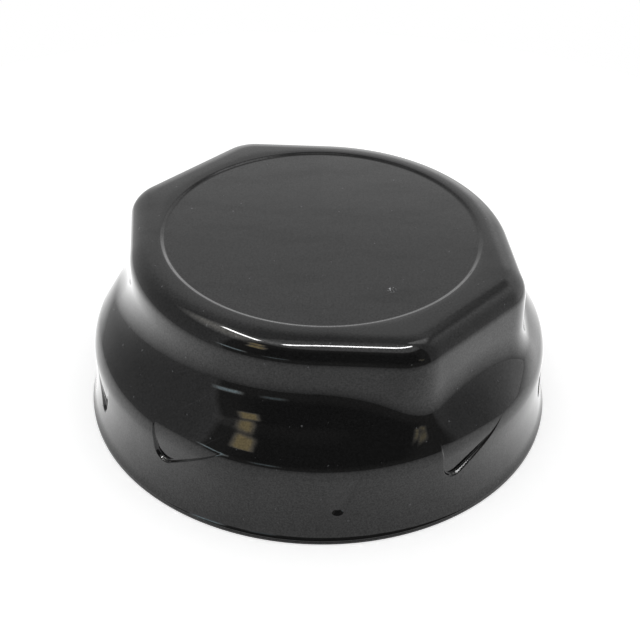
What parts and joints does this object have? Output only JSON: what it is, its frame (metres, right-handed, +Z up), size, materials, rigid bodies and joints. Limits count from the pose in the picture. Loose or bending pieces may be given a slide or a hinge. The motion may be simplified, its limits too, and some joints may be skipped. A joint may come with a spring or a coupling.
{
  "type": "hub grease cap",
  "caption": "Pressed steel hub grease cap: a hollow shell open below, with a flared skirt, inward grip dents, a swept shoulder and a round crown with two wrench flats.",
  "frame": {"origin": "centre of the rim plane, which the cap stands on", "axes": "+Z up along the cap's axis through the closed crown; -Y towards the viewer of the picture"},
  "size_m": [0.096, 0.096, 0.039],
  "materials": {
    "black_enamel": "gloss black enamel on pressed steel, very slightly dusty"
  },
  "bodies": {
    "root": {"grease_cap": "black_enamel"}
  },
  "joints": []
}
